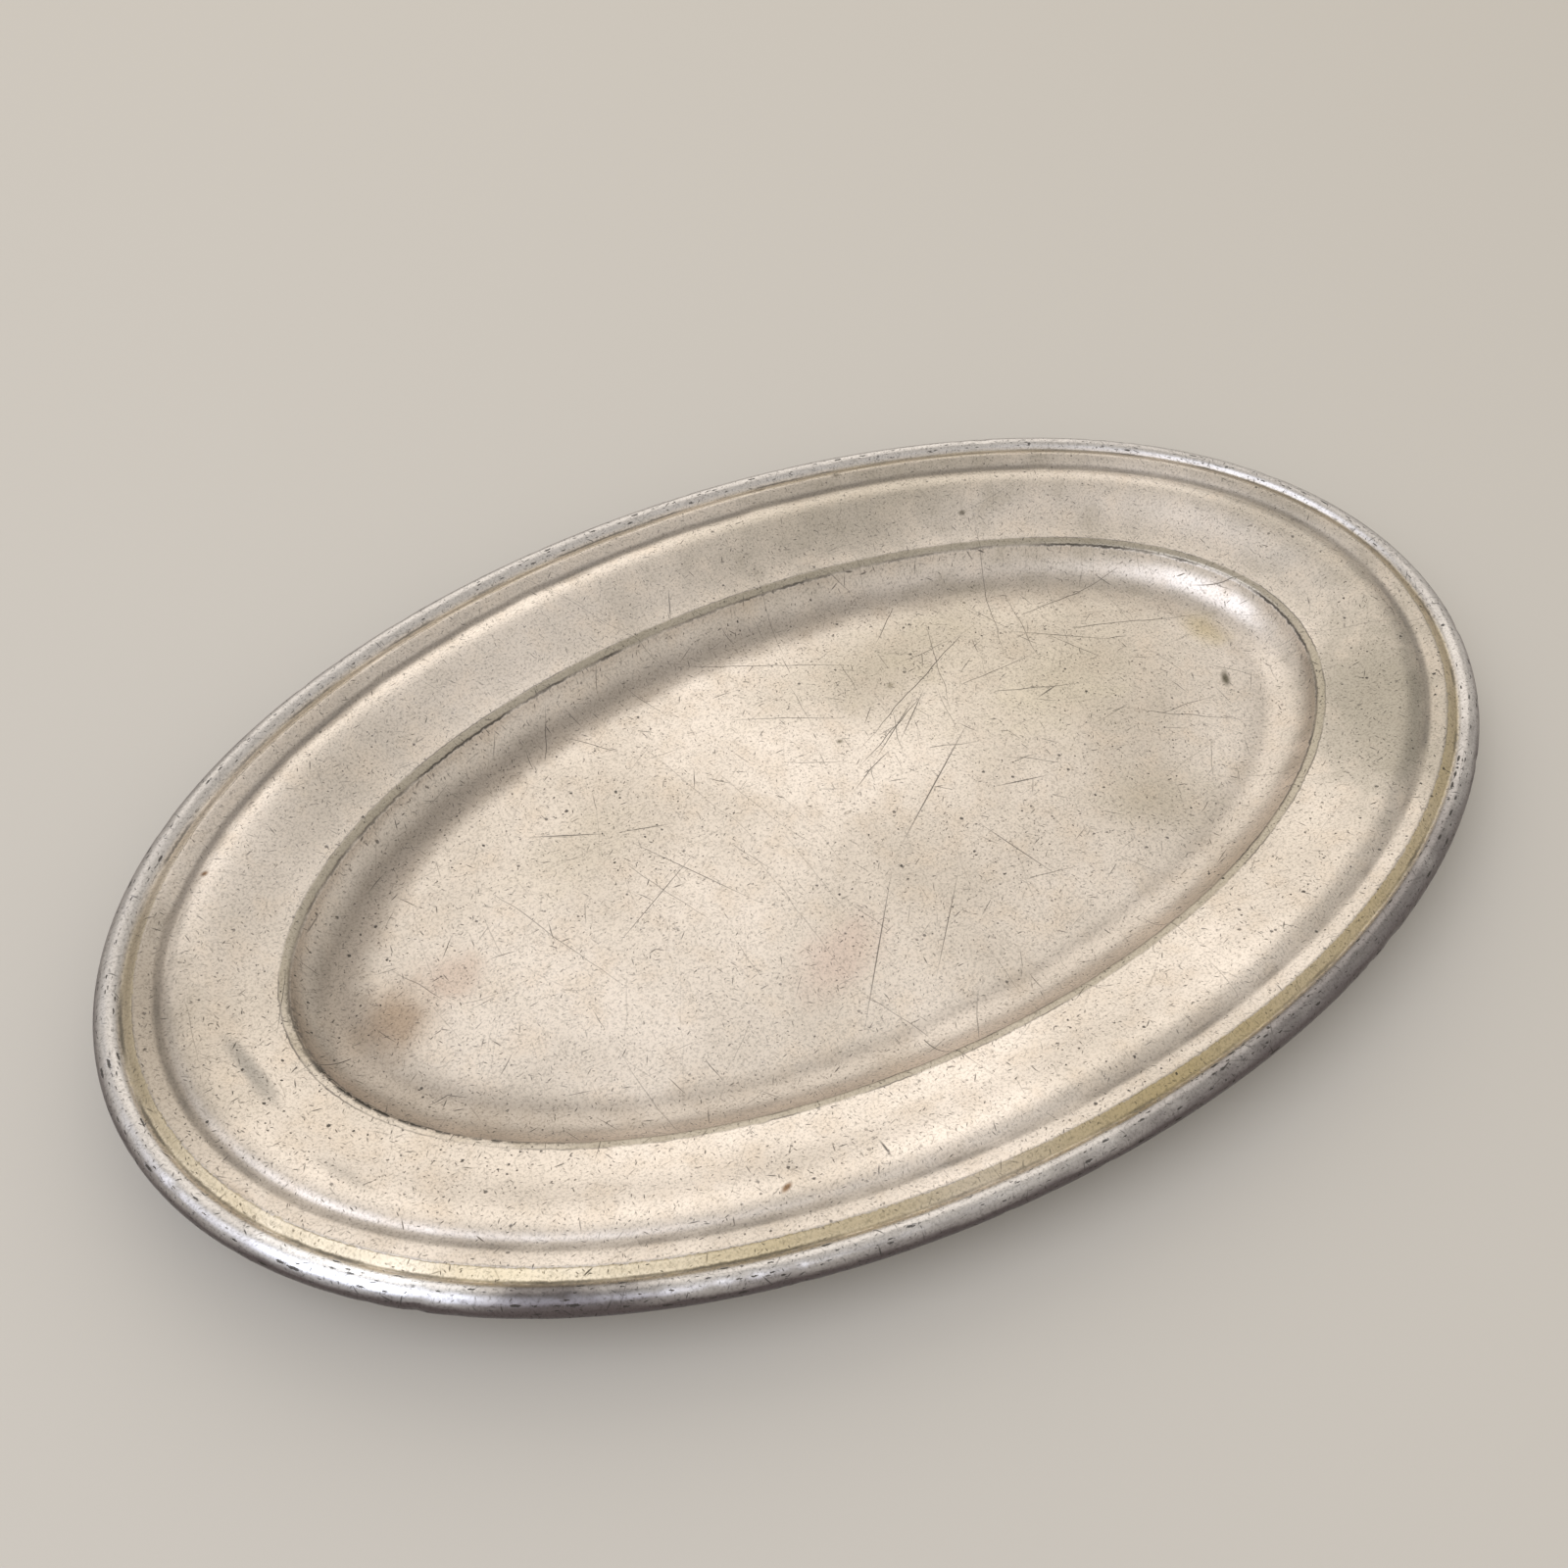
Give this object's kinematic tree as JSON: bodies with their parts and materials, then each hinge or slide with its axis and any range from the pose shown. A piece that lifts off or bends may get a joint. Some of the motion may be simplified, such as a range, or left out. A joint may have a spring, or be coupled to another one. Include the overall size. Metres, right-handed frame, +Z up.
{
  "type": "oval serving dish",
  "caption": "Shallow oval metal serving dish with a pressed well, a broad sloping rim, a grooved border and an edge rolled round a core wire.",
  "frame": {"origin": "on the surface that the dish stands on, under the middle of the floor", "axes": "+X along the length of the oval, +Y across it, +Z up out of the well"},
  "size_m": [0.3, 0.1878, 0.0165],
  "materials": {
    "plated_sheet": "silver plate on nickel silver, satin from years of use, worn yellowish along the edges",
    "core_wire": "drawn wire, plain"
  },
  "bodies": {
    "root": {"dish_body": "plated_sheet", "rim_wire": "core_wire"}
  },
  "joints": []
}
